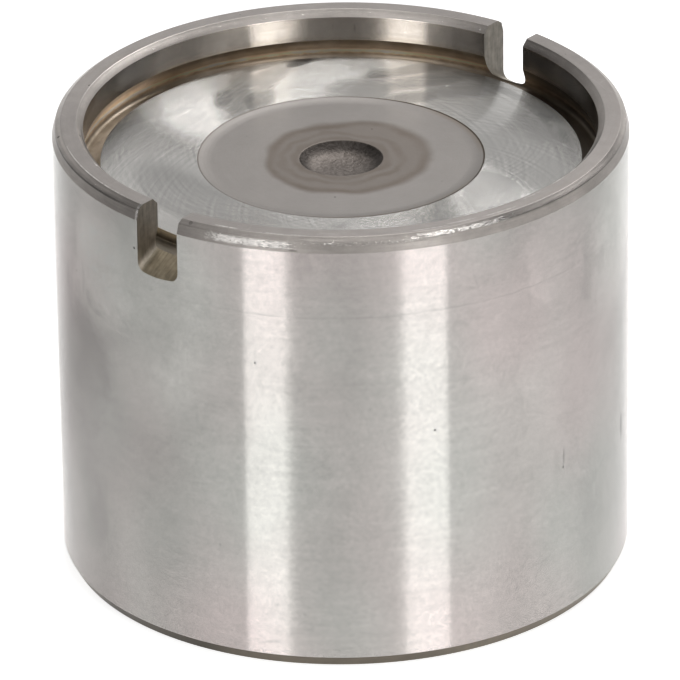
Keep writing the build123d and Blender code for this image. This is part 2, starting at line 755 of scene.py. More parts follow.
# %% Round place
place_group, entry, leave = start_group(
    "Round place", {}, {"Radius": NUMBER, "Height": NUMBER, "Turn": NUMBER}
)
tree = place_group
spot = parts_of(object_spot(tree))
to_right = towards(spot, right_x, right_y)
to_front = towards(spot, -away_x, -away_y)
distance = level_distance(spot)
turn = times(calculate("ARCTAN2", to_right, to_front), 180 / math.pi)
tree.links.new(times(distance, 1 / MM), leave.inputs["Radius"])
tree.links.new(times(spot["Z"], 1 / MM), leave.inputs["Height"])
tree.links.new(turn, leave.inputs["Turn"])
print("round place ready")


# %% Masks drawn on the round
def near(value, centre, reach, soft):
    """1 where a value lies within a reach of a centre, fading to 0 over its last part."""
    off = without_sign(minus(value, centre))
    return fade(off, reach - soft, reach, 1, 0)


def spots_mask(spots, across, up, core=0.35):
    """Small marks, each (turn, level, half turn, half level, strength), as one mask.

    The core is the share of each mark's area that has its full strength.
    """
    marks = []
    for turn, level, half_turn, half_level, strength in spots:
        first = times_plus(across, 1 / half_turn, -turn / half_turn)
        second = times_plus(up, 1 / half_level, -level / half_level)
        square = times(first, first)
        square = times_plus(second, second, square)
        marks.append(fade(square, core, 1, strength, 0))
    return largest(*marks)


def spots_at(where, level, spots, core=0.35):
    """Small marks whose level is the height or the radius, as one mask."""
    return spots_mask(spots, where["Turn"], where[level], core)


print("mask helpers ready")

# %% [markdown]
# ## Marks that run round the axis
#
# Every tool here cut or ground while the part turned, so its marks are circles. They do two
# things to a reflection. The finest ones are far too small to see, and only smear it across
# the marks: each sample of light meets a slope of its own, which a White Noise gives. The
# coarse ones show as thin lines. On the seat the marks also swirl a little with the radius,
# because the face was ground by a cup wheel that stood beside the axis.


# %% Turning marks
marks_group, entry, leave = start_group(
    "Turning marks",
    {
        "Grain slope": (NUMBER, 0.3),
        "Swirl per mm": (NUMBER, 0.0),
        "Lines per mm": (NUMBER, 2.5),
        "Line slope": (NUMBER, 0.02),
        "Wander": (NUMBER, 2.0),
    },
    {"Normal": VECTOR, "Line": NUMBER},
)
tree = marks_group
place = object_spot(tree)
parts = parts_of(place)
flat_place = vector_of(parts["X"], parts["Y"], 0.0)
radius = add_node("ShaderNodeVectorMath", {0: flat_place}, operation="LENGTH").outputs["Value"]
outward = vector_step("NORMALIZE", flat_place)
outward_parts = parts_of(outward)
round_way = vector_of(times(outward_parts["Y"], -1), outward_parts["X"], 0)

# Thin lines: noise squeezed across the marks and drawn out along them
squeeze = times(entry["Lines per mm"], 1 / MM)
spread = parts_of(stretched(outward, entry["Wander"]))
line_spot = vector_of(spread["X"], spread["Y"], times(radius, squeeze))
line = noise_4d(line_spot, times(parts["Z"], squeeze), 1, 3)
line_lean = times_plus(line, 2, -1)

# The grain that is too fine to see
spray = add_node(
    "ShaderNodeTexWhiteNoise", {"Vector": place}, noise_dimensions="3D"
).outputs["Value"]
lean = times(times_plus(spray, 2, -1), entry["Grain slope"])
lean = times_plus(line_lean, entry["Line slope"], lean)

# The slope points across the marks, which the swirl turns away from straight outwards
face = add_node("ShaderNodeNewGeometry", tree=tree).outputs["Normal"]
across = vector_step("CROSS_PRODUCT", face, round_way)
swirl_from = 13.5
beyond = times_plus(radius, 1 / MM, -swirl_from)
swirl = times(times(beyond, entry["Swirl per mm"]), math.pi / 180)
straight = stretched(across, calculate("COSINE", swirl))
aside = stretched(round_way, calculate("SINE", swirl))
slope = stretched(vector_step("ADD", straight, aside), lean)
normal = vector_step("NORMALIZE", vector_step("ADD", face, slope))
tree.links.new(normal, leave.inputs["Normal"])
tree.links.new(line, leave.inputs["Line"])
print("turning marks ready")

# %% [markdown]
# ## Clouds, specks and stray scratches
#
# Handled steel is never one even grey. Oil and the first breath of rust leave soft clouds, a
# little warm here and a little green there, with a finer mottle inside them, and every touch of
# another part leaves a hairline. Two groups make these. The clouds can be drawn out upwards,
# which is how oil runs on a wall.


# %% Clouds
cloud_group, entry, leave = start_group(
    "Clouds",
    {"Size": (NUMBER, 8.0), "Upright": (NUMBER, 1.0), "Seed": (NUMBER, 0.0)},
    {"Cloud": NUMBER, "Mottle": NUMBER, "Speck": NUMBER, "Warmth": NUMBER},
)
tree = cloud_group
place = object_spot(tree)
parts = parts_of(place)
low_rise = calculate("DIVIDE", parts["Z"], entry["Upright"])
drawn = vector_of(parts["X"], parts["Y"], low_rise)
coarseness = calculate("DIVIDE", 1 / MM, entry["Size"])


def cloud_noise(vector, finer, detail, low, high, shift):
    """One layer of the clouds, stretched so that it fills 0 to 1."""
    scaled = stretched(vector, times(coarseness, finer))
    seed = plus(entry["Seed"], shift)
    return remap(noise_4d(scaled, seed, 1, detail, 0.6), low, high)


tree.links.new(cloud_noise(drawn, 1, 2, 0.3, 0.7, 0), leave.inputs["Cloud"])
tree.links.new(cloud_noise(drawn, 4, 3, 0.3, 0.7, 7.1), leave.inputs["Mottle"])
tree.links.new(cloud_noise(place, 32, 1, 0.25, 0.75, 13.7), leave.inputs["Speck"])
tree.links.new(cloud_noise(drawn, 0.9, 1, 0.35, 0.65, 21.3), leave.inputs["Warmth"])
print("clouds ready")


# %% Stray scratches
scratch_group, entry, leave = start_group(
    "Stray scratches",
    {
        "Size": (NUMBER, 6.0),
        "Width": (NUMBER, 0.006),
        "Share": (NUMBER, 0.3),
        "Seed": (NUMBER, 0.0),
    },
    {"Scratch": NUMBER},
)
tree = scratch_group
place = object_spot(tree)
coarseness = calculate("DIVIDE", 1 / MM, entry["Size"])
pieces = []
for turning in ((0.5, 0.2, 0.4), (-0.7, 0.5, 1.9)):
    inputs = {"Vector": place, "Rotation": turning}
    turned = add_node("ShaderNodeVectorRotate", inputs, rotation_type="EULER_XYZ").outputs[0]
    drawn = stretched(vector_step("MULTIPLY", turned, (1.0, 1.0, 0.16)), coarseness)
    field = noise_4d(drawn, entry["Seed"], 1, 1)
    off = without_sign(minus(field, 0.5))
    thin = minus(1, calculate("DIVIDE", off, entry["Width"]), clamp=True)
    break_up = noise_4d(turned, entry["Seed"], 420, 1)
    limit = minus(0.72, times(entry["Share"], 0.4))
    above = times(minus(break_up, limit), 12, clamp=True)
    pieces.append(times(thin, above))
tree.links.new(largest(*pieces), leave.inputs["Scratch"])
print("stray scratches ready")

# %% [markdown]
# ## Nicks along an edge
#
# The front of the rim was knocked when shims were prised out. Such an edge carries a string of
# tiny dents and smeared burrs, drawn out along the edge. Their fresh metal is lighter, and a
# painted glint makes them brighter still. The group draws them in a window of turn and height,
# and each material asks for its own.


# %% Edge nicks
nick_group, entry, leave = start_group(
    "Edge nicks",
    {
        "Turn": (NUMBER, 0.0),
        "Half turn": (NUMBER, 10.0),
        "Height": (NUMBER, 29.8),
        "Half height": (NUMBER, 0.2),
        "Share": (NUMBER, 0.5),
        "Seed": (NUMBER, 0.0),
    },
    {"Nick": NUMBER, "Dent": NUMBER},
)
tree = nick_group
where = use_group(tree, place_group)
in_turn = calculate("DIVIDE", minus(where["Turn"], entry["Turn"]), entry["Half turn"])
in_turn = fade(without_sign(in_turn), 0.45, 1, 1, 0)
rise = minus(where["Height"], entry["Height"])
in_height = without_sign(calculate("DIVIDE", rise, entry["Half height"]))
in_height = fade(in_height, 0.3, 1, 1, 0)
inside = times(in_turn, in_height)
rim_radius = 18.3
arc = times(where["Turn"], rim_radius * math.pi / 180)
drawn_out = vector_of(arc, times(where["Height"], 3.2), entry["Seed"])
chips = grains(drawn_out, 3.4, 3, 0.75, 1.2)
limit = minus(0.78, times(inside, times(entry["Share"], 0.5)))
nick_and_glint = times(minus(chips, limit), 14, clamp=True)
nick_and_glint = times(nick_and_glint, remap(inside, 0.02, 0.15))
dents = grains(drawn_out, 5, 3, 0.7, 1)
tree.links.new(nick_and_glint, leave.inputs["Nick"])
tree.links.new(times(dents, times_plus(nick_and_glint, 0.7, times(inside, 0.3))), leave.inputs["Dent"])
print("edge nicks ready")

# %% [markdown]
# ## One way to start every steel
#
# The finishes differ in colour and in their marks, but all are bare steel with a grain that
# runs round the axis. A short function opens a material, sets the values that are the same all
# over, and hands back its nodes, so that each finish below only adds what is its own.


# %% Bare steel
def bare_steel(name, roughness, anisotropy, grain, lines, line_slope, wander, swirl=0.0):
    """A metal with its grain round the axis. Returns its tree, its shader and the marks.

    The grain smears reflections. The lines, so many per mm, have a slope and wander a little.
    """
    material = finishes[name]
    material.use_nodes = True
    tree = material.node_tree
    shader = tree.nodes["Principled BSDF"]
    shader.inputs["Metallic"].default_value = 1.0
    shader.inputs["Roughness"].default_value = roughness
    shader.inputs["Anisotropic"].default_value = anisotropy
    shader.inputs["Anisotropic Rotation"].default_value = 0.25
    round_grain = add_node("ShaderNodeTangent", tree=tree, direction_type="RADIAL", axis="Z")
    tree.links.new(round_grain.outputs[0], shader.inputs["Tangent"])
    values = {
        "Grain slope": grain,
        "Swirl per mm": swirl,
        "Lines per mm": lines,
        "Line slope": line_slope,
        "Wander": wander,
    }
    return tree, shader, use_group(tree, marks_group, values)


def soft_clouds(tree, size, upright, seed):
    """The clouds group, placed in a material."""
    return use_group(tree, cloud_group, {"Size": size, "Upright": upright, "Seed": seed})


def hairlines(tree, size, width, share, seed):
    """The scratches of the stray scratches group, placed in a material."""
    inputs = {"Size": size, "Width": width, "Share": share, "Seed": seed}
    return use_group(tree, scratch_group, inputs)["Scratch"]


def tone(colour, shade):
    """A colour made lighter or darker by a value near 1."""
    return stretched(colour, shade)


def swing(value, amount, base=1.0):
    """A mask from 0 to 1 turned into a value that swings round a base."""
    return times_plus(value, amount, base - amount / 2)


def vary(shade, value, amount):
    """A shade that swings up and down with a value from 0 to 1."""
    return times(shade, swing(value, amount))


def uneven(clouds, marks, cloud, mottle=0.0, speck=0.0, line=0.0):
    """A shade near 1 that clouds and tool lines make uneven, each by its own amount."""
    shade = swing(clouds["Cloud"], cloud)
    for value, amount in (
        (clouds["Mottle"], mottle), (clouds["Speck"], speck), (marks["Line"], line)
    ):
        if amount:
            shade = vary(shade, value, amount)
    return shade


def lighten(shade, mask, amount):
    """A shade made lighter where a mask is 1, or darker where the amount is below 0."""
    return times(shade, times_plus(mask, amount, 1))


def relief(height, depth, normal):
    """A bump whose height is a mask and whose depth is in millimetres."""
    inputs = {"Height": height, "Distance": depth * MM, "Strength": 1.0, "Normal": normal}
    return add_node("ShaderNodeBump", inputs).outputs[0]


def join_up(tree, shader, colour, roughness, height, depth, marks):
    """Gives a shader its colour, its roughness and a relief over its tool marks."""
    tree.links.new(colour, shader.inputs["Base Color"])
    tree.links.new(roughness, shader.inputs["Roughness"])
    tree.links.new(relief(height, depth, marks["Normal"]), shader.inputs["Normal"])


print("bare steel ready")

# %% [markdown]
# ## The ground skirt
#
# The skirt slides in its guide, so it was ground to size and is the smoothest face. Its grain
# lies round the wall and smears the lamps into two upright bands. Over that lie soft oil
# clouds with a pink and a green cast, a few circles that the wheel left deeper, rubbed patches
# with a slanting ripple, and the odd scratch and pit of a part that has been handled.

# %% Skirt: clouds and grain
tree, shader, marks = bare_steel("skirt", 0.17, 1, grain=0.6, lines=3, line_slope=0.006, wander=5)
where = use_group(tree, place_group)
clouds = soft_clouds(tree, 9, 1.6, 3)
hairs = hairlines(tree, 5, 0.006, 0.25, 1)
grain = soft_clouds(tree, 2.6, 0.8, 5)
shade = swing(clouds["Cloud"], 0.13, 1.02)
shade = vary(shade, clouds["Mottle"], 0.06)
shade = vary(shade, grain["Mottle"], 0.04)
shade = vary(shade, clouds["Speck"], 0.12)
shade = vary(shade, marks["Line"], 0.17)
print("skirt clouds and grain ready")

# %% Skirt: painted light and painted shade
# Places of painted light and painted shade on the wall: turn, height, half sizes, strength
skirt_painted_shade_places = [
    (-33, 25.6, 7, 2.2, 0.3),
    (-62, 18, 9, 5, 0.35),
    (57, 24.5, 5, 3.6, 0.5),
    (62, 27.8, 4, 2.4, 0.35),
    (-7, 10, 6, 9, 0.25),
    (-62, 9, 7, 6, 0.3),
    (74, 15, 5, 5, 0.3),
]
skirt_painted_light_places = [
    (-58, 23.8, 13, 4.6, 0.9),
    (-32, 19.5, 9, 2.6, 0.3),
    (45, 26.5, 8, 3.6, 0.45),
    (42, 14, 8, 9, 0.3),
    (-6, 24, 6, 5, 0.35),
    (88, 22, 9, 4, 0.4),
]
# The clouds pull the edges of these places about, so that none is a plain oval
stray = times_plus(clouds["Mottle"], 9, -4.5)
pulled_turn = plus(where["Turn"], stray)
pulled_height = times_plus(clouds["Cloud"], 3, plus(where["Height"], -1.5))
skirt_painted_shade = spots_mask(skirt_painted_shade_places, pulled_turn, pulled_height)
skirt_painted_light = spots_mask(skirt_painted_light_places, pulled_turn, pulled_height)
shade = lighten(shade, skirt_painted_shade, -0.2)
shade = lighten(shade, skirt_painted_light, 0.2)

# Broad places of painted light fade from their middle, so that they show no edge at all
broad_painted_light_places = [
    (-50, 26, 28, 7.5, 1),
    (-42, 20.5, 16, 7, 0.6),
    (40, 20.5, 16, 9, 0.35),
    (69, 25, 14, 7, 0.75),
]
broad_painted_light = spots_at(where, "Height", broad_painted_light_places, core=0.0)
shade = lighten(shade, broad_painted_light, 0.4)

# Painted shade makes both sides darker near the foot, where they mirror the table
low_side_painted_shade = near(without_sign(where["Turn"]), 75, 28, 12)
low_side_painted_shade = times(low_side_painted_shade, fade(where["Height"], 4, 15, 1, 0))
shade = lighten(shade, low_side_painted_shade, -0.22)
print("skirt places", len(skirt_painted_shade_places) + len(skirt_painted_light_places) + len(broad_painted_light_places))

# %% Skirt: circles that the wheel left
# Each fades in and out round the wall: height, half width, strength
wavering = times_plus(clouds["Mottle"], 0.12, where["Height"])
for level, width, strength in ((24.72, 0.07, 0.16), (20.1, 0.05, 0.08), (16.0, 0.05, 0.05)):
    circle = near(wavering, level + 0.06, width, width)
    circle = times(circle, times_plus(clouds["Warmth"], 0.6, 0.4))
    shade = lighten(shade, circle, -strength)
print("skirt circles ready")

# %% Skirt: a curved scrape, pits and ticks
scrape = spots_at(
    where,
    "Height",
    [(-62.9, 22.9, 0.5, 1.6, 0.8), (-60.6, 21.9, 1.6, 0.5, 0.8), (-57.6, 21.2, 2.2, 0.25, 0.7)],
)
scrape = times(scrape, minus(hairs, -0.4, clamp=True))
pits = spots_at(
    where,
    "Height",
    [
        (17.9, 16.4, 0.30, 0.08, 1),
        (-17.5, 21.28, 0.25, 0.12, 0.6),
        (48.9, 11.7, 0.22, 0.8, 0.55),
        (48.7, 10.9, 0.2, 0.15, 0.9),
        (-44.9, 27.2, 0.35, 0.12, 0.9),
        (-34.2, 27.98, 0.35, 0.1, 0.9),
        (-66, 23, 0.2, 0.1, 0.7),
        (74.6, 10.2, 0.9, 1.1, 0.45),
        (5, 18.3, 0.2, 0.06, 0.5),
        (-25.5, 8, 0.2, 0.1, 0.5),
    ],
)
worn = largest(pits, times(scrape, 0.5), times(hairs, 0.16))
shade = lighten(shade, worn, -0.6)
print("skirt marks ready")

# %% Skirt: rubbed patches and colour
# A patch shows a slanting ripple. The colour swings between a green cast and a pink one
ripple_run = times_plus(where["Height"], 13, times(where["Turn"], 2.4))
ripple_run = times_plus(clouds["Mottle"], 5, ripple_run)
ripple = times_plus(calculate("SINE", ripple_run), 0.5, 0.5)
ripple_places = [
    (41, 26.8, 6, 2.6, 1), (33, 20, 3, 5, 0.6), (-49, 7.5, 9, 4, 0.8), (-38, 16, 8, 5, 0.35)
]
ripple = times(ripple, spots_mask(ripple_places, pulled_turn, pulled_height))
surface = times_plus(ripple, 0.16, times(worn, -1))
tint = mix_colours(clouds["Warmth"], (0.6, 0.594, 0.562, 1), (0.652, 0.586, 0.566, 1))
rough = times_plus(worn, 0.2, times_plus(clouds["Mottle"], 0.01, 0.164))
join_up(tree, shader, tone(tint, shade), rough, surface, 0.003, marks)
print("skirt finished")

# %% [markdown]
# ## The rim
#
# The rim was turned, not ground: a nose and a flank lead it into its guide, and a narrow
# chamfer guides the shim. It is a duller, warmer steel with lines round it. Its front is knocked
# bright in two places: fresh metal, brightened further as a painted glint. On the left a burr
# stands at the edge, with a painted shadow under it and a painted highlight on the nose. More
# painted shade dulls the nose at the front right, and painted highlights brighten the flank
# below it and the mouth at the back. Real dents would need very small faces, so the nicks are
# a bright mask with a bump under it.

# %% Rim: steel and nicks
tree, shader, marks = bare_steel("rim", 0.4, 0.5, grain=0.1, lines=9, line_slope=0.06, wander=7)
where = use_group(tree, place_group)
clouds = soft_clouds(tree, 3, 0.5, 11)
# Strings of nicks, on the left, on the right and low in front, and a few all the way round
nick_inputs = ["Turn", "Half turn", "Height", "Half height", "Share", "Seed"]
strings = [
    use_group(tree, nick_group, dict(zip(nick_inputs, values)))
    for values in (
        (-18.5, 13, 29.58, 0.4, 0.84, 2),
        (25, 17, 29.9, 0.2, 0.7, 5),
        (6, 22, 29.75, 0.2, 0.5, 8),
        (0, 400, 29.86, 0.16, 0.28, 21),
    )
]
nick_and_glint = largest(*[string["Nick"] for string in strings])
dent = largest(*[string["Dent"] for string in strings])
shade = uneven(clouds, marks, cloud=0.16, mottle=0.14, speck=0.1, line=0.3)
print("rim nicks", len(strings), "strings")

# %% Rim: burr, nose, flank and mouth
# On the left, where a burr stands, a painted shadow darkens a line under the edge and a painted
# highlight lightens the nose
on_left = near(where["Turn"], -67, 24, 12)
painted_shadow_under_edge = times(near(where["Height"], 29.79, 0.075, 0.05), on_left)
painted_nose_highlight = times(near(where["Height"], 30.02, 0.08, 0.06), on_left)
# Painted shade darkens the nose at the front right, and a painted highlight brightens the flank
# below it
painted_nose_shade = times(remap(where["Height"], 29.8, 29.86), near(where["Turn"], 52, 34, 18))
shade = lighten(shade, painted_nose_shade, -0.62)
shade = lighten(shade, painted_shadow_under_edge, -0.62)
shade = lighten(shade, painted_nose_highlight, 0.3)
on_flank = remap(where["Height"], 29.84, 29.7)
painted_flank_highlight = times(near(where["Turn"], 42, 18, 9), on_flank)
shade = lighten(shade, painted_flank_highlight, 0.52)
# A painted highlight at the back, where the mouth of the recess catches the high lamps
painted_mouth_highlight = times(remap(where["Radius"], 17.1, 16.95), remap(without_sign(where["Turn"]), 110, 140))
shade = lighten(shade, painted_mouth_highlight, 0.32)
print("rim shades ready")

# %% Rim: the burr at the left slot, with a painted glint, and colour
spot = parts_of(object_spot(tree))
burr_and_glint = near(spot["Y"], 1.45 * MM, 0.14 * MM, 0.06 * MM)
burr_and_glint = times(burr_and_glint, remap(spot["X"], -0.015, -0.0155))
burr_and_glint = times(burr_and_glint, remap(clouds["Speck"], 0.3, 0.6))
nick_and_glint = largest(nick_and_glint, burr_and_glint)
dots = spots_at(
    where,
    "Height",
    [(-82.6, 29.95, 0.5, 0.08, 1), (-9.6, 29.3, 1.1, 0.06, 0.8), (-31.4, 30, 0.5, 0.1, 0.6)],
)
shade = lighten(shade, dots, -0.6)
# Nicks and the burr get a light colour: fresh metal, brightened further as a painted glint
steel = mix_colours(nick_and_glint, (0.4, 0.368, 0.343, 1), (0.92, 0.88, 0.84, 1))
surface = times_plus(dent, 1, times(clouds["Speck"], 0.08))
colour = tone(steel, shade)
rough = times_plus(nick_and_glint, -0.14, 0.4)
join_up(tree, shader, colour, rough, surface, 0.05, marks)
print("rim finished")

# %% [markdown]
# ## The land
#
# The flat top of the rim is the narrowest face and the evenest one, a satin grey. The tool that
# prises the shims rests on it, so it has short scuffs at the front right and a few pits.

# %% Land
tree, shader, marks = bare_steel("land", 0.42, 0.2, grain=0.06, lines=8, line_slope=0.03, wander=6)
where = use_group(tree, place_group)
clouds = soft_clouds(tree, 3.5, 1, 17)
hairs = hairlines(tree, 3, 0.01, 0.5, 4)
shade = uneven(clouds, marks, cloud=0.12, mottle=0.1, speck=0.07, line=0.14)
scuffs = spots_at(
    where,
    "Radius",
    [
        (18.1, 17.75, 4.5, 0.07, 0.45),
        (25, 17.55, 4, 0.05, 0.4),
        (34, 17.62, 5, 0.06, 0.45),
        (44, 17.1, 3.5, 0.05, 0.4),
        (53.5, 16.98, 2.5, 0.05, 0.6),
        (59.5, 16.98, 1.5, 0.05, 0.6),
        (-24, 17.8, 3, 0.06, 0.8),
        (-12, 17.86, 6, 0.05, 0.6),
        (-63, 17.9, 17, 0.045, 0.7),
        (-66, 16.98, 1.2, 0.06, 0.9),
    ],
)
broken = times(scuffs, remap(clouds["Speck"], 0.25, 0.55))
pits = spots_at(
    where,
    "Radius",
    [
        (-107.9, 17.05, 0.4, 0.07, 1),
        (-38, 17.2, 0.5, 0.05, 0.5),
        (122, 17.3, 0.3, 0.05, 0.6),
        (-158, 17.4, 0.3, 0.05, 0.6),
    ],
)
shade = lighten(shade, pits, -0.7)
shade = lighten(shade, hairs, 0.12)
steel = mix_colours(broken, (0.305, 0.28, 0.264, 1), (0.78, 0.75, 0.72, 1))
surface = minus(times(clouds["Speck"], 0.15), pits)
colour = tone(steel, shade)
rough = times_plus(broken, -0.12, 0.42)
join_up(tree, shader, colour, rough, surface, 0.012, marks)
print("land finished")

# %% [markdown]
# ## The bore and its relief groove
#
# The wall round the shim was bored smooth, and mirrors the lamps in two short bands. Below it a
# groove frees the corner, and there no tool touched the brown skin of the heat treatment. The
# groove has painted shade under its upper lip and low in its floor, and a painted highlight along
# a tool line lower down. Painted shade darkens some stretches of both and painted light lightens
# others. They are masks over the turn, which is simpler than a painted picture.

# %% Bore
tree, shader, marks = bare_steel("bore", 0.14, 1, grain=0.12, lines=6, line_slope=0.015, wander=4)
where = use_group(tree, place_group)
clouds = soft_clouds(tree, 3, 2.5, 23)
shade = uneven(clouds, marks, cloud=0.14, mottle=0.16, line=0.3)
ticks = spots_at(
    where,
    "Height",
    [
        (176.5, 28.9, 0.25, 0.35, 0.9),
        (-178.5, 29, 0.2, 0.2, 0.7),
        (-160, 28.7, 0.2, 0.3, 0.5),
        (168, 29.1, 0.2, 0.15, 0.5),
    ],
)
shade = lighten(shade, ticks, -0.4)

# Stretches of painted shade, or of painted light where the amount is above 0: turn, reach, fading
# part, amount
for centre, reach, soft, amount in (
    (-112, 24, 12, -0.73),
    (-126, 11, 6, -0.42),
    (-152, 16, 8, 0.22),
    (149, 8, 5, -0.28),
    (163, 8, 4, 0.12),
    (113, 24, 13, -0.7),
):
    painted_stretch = near(where["Turn"], centre, reach, soft)
    shade = lighten(shade, painted_stretch, amount)
# Painted shade at the back as well
painted_bore_back_shade = near(without_sign(where["Turn"]), 180, 11, 5)
shade = lighten(shade, painted_bore_back_shade, -0.36)
low_stain = times(fade(where["Height"], 28.03, 28.6, 1, 0), 0.5)
steel = mix_colours(low_stain, (0.75, 0.69, 0.63, 1), (0.68, 0.6, 0.5, 1))
colour = tone(steel, shade)
rough = times_plus(clouds["Mottle"], 0.04, 0.12)
join_up(tree, shader, colour, rough, clouds["Speck"], 0.001, marks)
print("bore finished")

# %% Groove
tree, shader, marks = bare_steel(
    "groove", 0.36, 0.7, grain=0.12, lines=5, line_slope=0.1, wander=1.5
)
where = use_group(tree, place_group)
clouds = soft_clouds(tree, 2.5, 0.5, 29)
shade = uneven(clouds, marks, cloud=0.3, mottle=0.2, line=0.5)
# Painted shade under the upper lip and low in the floor
shade = times(shade, fade(where["Height"], 27.45, 27.95, 1, 0.5))
shade = times(shade, fade(where["Height"], 26.68, 26.92, 0.5, 1))
# A painted highlight along a tool line
tool_line_highlight = near(times_plus(clouds["Mottle"], 0.1, where["Height"]), 27.2, 0.28, 0.25)
shade = lighten(shade, tool_line_highlight, 1)
# Painted light on the left and painted shade on the right
groove_painted_light = near(where["Turn"], -95, 50, 25)
groove_painted_shade = near(where["Turn"], 105, 40, 20)
shade = lighten(shade, groove_painted_light, 0.3)
shade = lighten(shade, groove_painted_shade, -0.6)
skin = mix_colours(clouds["Cloud"], (0.6, 0.485, 0.36, 1), (0.66, 0.56, 0.46, 1))
skin = mix_colours(near(where["Turn"], -50, 14, 6), skin, (0.42, 0.375, 0.305, 1))
colour = tone(skin, shade)
rough = times_plus(clouds["Mottle"], 0.12, 0.3)
join_up(tree, shader, colour, rough, clouds["Speck"], 0.004, marks)
print("groove finished")

# %% [markdown]
# ## The seat of the shim
#
# The ring that carries the shim was ground flat by a cup wheel. It shows rings round the axis
# and, across them, arcs of circles that have other centres. Where a lamp's wedge falls on it the
# two sets of lines make a fine weave. The arcs are noise over the distance from each centre.

# %% Seat: rings and arcs
tree, shader, marks = bare_steel(
    "seat", 0.16, 0.95, grain=0.3, lines=3.6, line_slope=0.03, wander=1.6, swirl=-4.5
)
where = use_group(tree, place_group)
clouds = soft_clouds(tree, 3.5, 1, 31)
hairs = hairlines(tree, 4, 0.006, 0.2, 6)
spot = object_spot(tree)
arcs = None
for turn, reach, spacing, seed in ((110, 6.5, 3.6, 1), (-65, 6, 2.9, 2), (20, 9, 4.2, 3)):
    centre = (seen_from_tappet(turn, 0) * reach + Vector((0, 0, seat_height))) * MM
    away_from = add_node(
        "ShaderNodeVectorMath", {0: spot, 1: centre}, operation="DISTANCE"
    ).outputs["Value"]
    number = times(away_from, spacing / MM)
    inputs = {"W": plus(number, seed * 17), "Scale": 1, "Detail": 2}
    set_of_arcs = add_node("ShaderNodeTexNoise", inputs, noise_dimensions="1D").outputs["Fac"]
    even = calculate("SINE", times(away_from, 17000 - 1000 * seed))
    set_of_arcs = times_plus(even, 0.08, set_of_arcs)
    patch = plus(clouds["Cloud"], seed * 0.1 - 0.2)
    weight = remap(patch, 0.2, 0.8, 0.1, 1)
    set_of_arcs = times(minus(set_of_arcs, 0.5), weight)
    arcs = set_of_arcs if arcs is None else plus(arcs, set_of_arcs)
shade = uneven(clouds, marks, cloud=0.08, mottle=0.04, line=0.18)
shade = lighten(shade, arcs, 0.3)
print("seat arcs ready")

# %% Seat: stains and specks
stains = [
    (-171, 15.25, 6, 0.3, 0.9),
    (175.5, 15.4, 1, 0.14, 1),
    (174, 14, 5, 0.9, 0.5),
    (164, 12.6, 6, 0.6, 0.35),
    (-136.9, 14, 0.35, 0.25, 0.7),
    (130, 14.5, 7, 0.5, 0.5),
    (143, 14.8, 6, 0.5, 0.5),
    (112, 14.4, 5, 0.5, 0.4),
    (101, 14.6, 4, 0.5, 0.35),
]
pulled = times_plus(clouds["Mottle"], 8, plus(where["Turn"], -4))
stain = spots_mask(stains, pulled, where["Radius"])
specks = spots_at(where, "Radius", [(146.7, 12.73, 0.7, 0.12, 1), (-118, 13.2, 0.5, 0.08, 0.5)])
print("seat stains", len(stains))

# %% Seat: painted shade and a painted highlight
# Painted shade darkens the seat in places, and one painted highlight brightens a lamp's wedge.
# These lean with the radius, as the wheel's swirl does. Those at the back count the turn
# onwards past 180, so that none is cut where it starts again
full_turn = calculate("WRAP", where["Turn"], 360.0, 0.0)
lean = times_plus(clouds["Cloud"], 3, times_plus(where["Radius"], 3.3, -44.4))
lean_front = plus(where["Turn"], lean)
lean_back = plus(full_turn, lean)
painted_seat_front_shade = [
    (-60, 11.3, 38, 3, 0.5),
    (6, 10.6, 22, 3.4, 0.85),
    (30, 11.8, 30, 4.6, 0.55),
    (52, 11.2, 18, 4.2, 0.85),
    (92, 12, 32, 4.6, 0.22),
]
painted_seat_back_shade = [
    (212, 11.2, 8, 3.4, 0.5),
    (202, 10.2, 9.5, 2.2, 1),
    (201, 13.2, 7.5, 3.2, 0.8),
    (197, 14.9, 4.5, 1, 1.5),
    (169, 13.2, 6.5, 1.4, 0.7),
    (171, 14.6, 10, 1.2, 0.55),
    (154, 12.8, 9, 2.8, 0.75),
    (142, 10, 8, 2, 0.75),
    (141, 12.6, 9, 3, 0.45),
    (120, 14.7, 10, 0.9, 0.5),
    (182, 12, 40, 5, 0.12),
    (164, 14.2, 8, 1.8, 0.9),
    (216, 11.8, 6, 1.6, 0.75),
    (206, 15, 6, 0.8, 0.9),
    (173, 10.9, 5.5, 1.8, 0.5),
]
painted_seat_front_shade = spots_mask(painted_seat_front_shade, lean_front, where["Radius"], core=0.3)
painted_seat_back_shade = spots_mask(painted_seat_back_shade, lean_back, where["Radius"], core=0.05)
painted_seat_shade = largest(painted_seat_front_shade, painted_seat_back_shade)
shade = lighten(shade, painted_seat_shade, -0.54)
painted_wedge_highlight = spots_mask([(231, 12.5, 13, 4.6, 1)], lean_back, where["Radius"])
shade = lighten(shade, painted_wedge_highlight, 0.22)
print("seat places ready")

# %% Seat: colour and relief
shade = lighten(shade, stain, -0.4)
shade = lighten(shade, specks, 0.6)
shade = lighten(shade, hairs, -0.07)
surface = times_plus(hairs, -0.1, arcs)
colour = tone((0.59, 0.575, 0.55), shade)
rough = times_plus(clouds["Mottle"], 0.01, 0.155)
join_up(tree, shader, colour, rough, surface, 0.0008, marks)
print("seat finished")

# %% [markdown]
# ## The disc inside the seat
#
# The disc lies a tenth of a millimetre lower, where the wheel never reached, so it keeps the
# dull satin of the turning. Round the forged dimple oil has dried into a brown ring with a
# darker, wandering tide line, and more of it sits in the ramp at the right and at the front.
# A cloud added to the radius makes the tide wander, so no line has to be drawn.

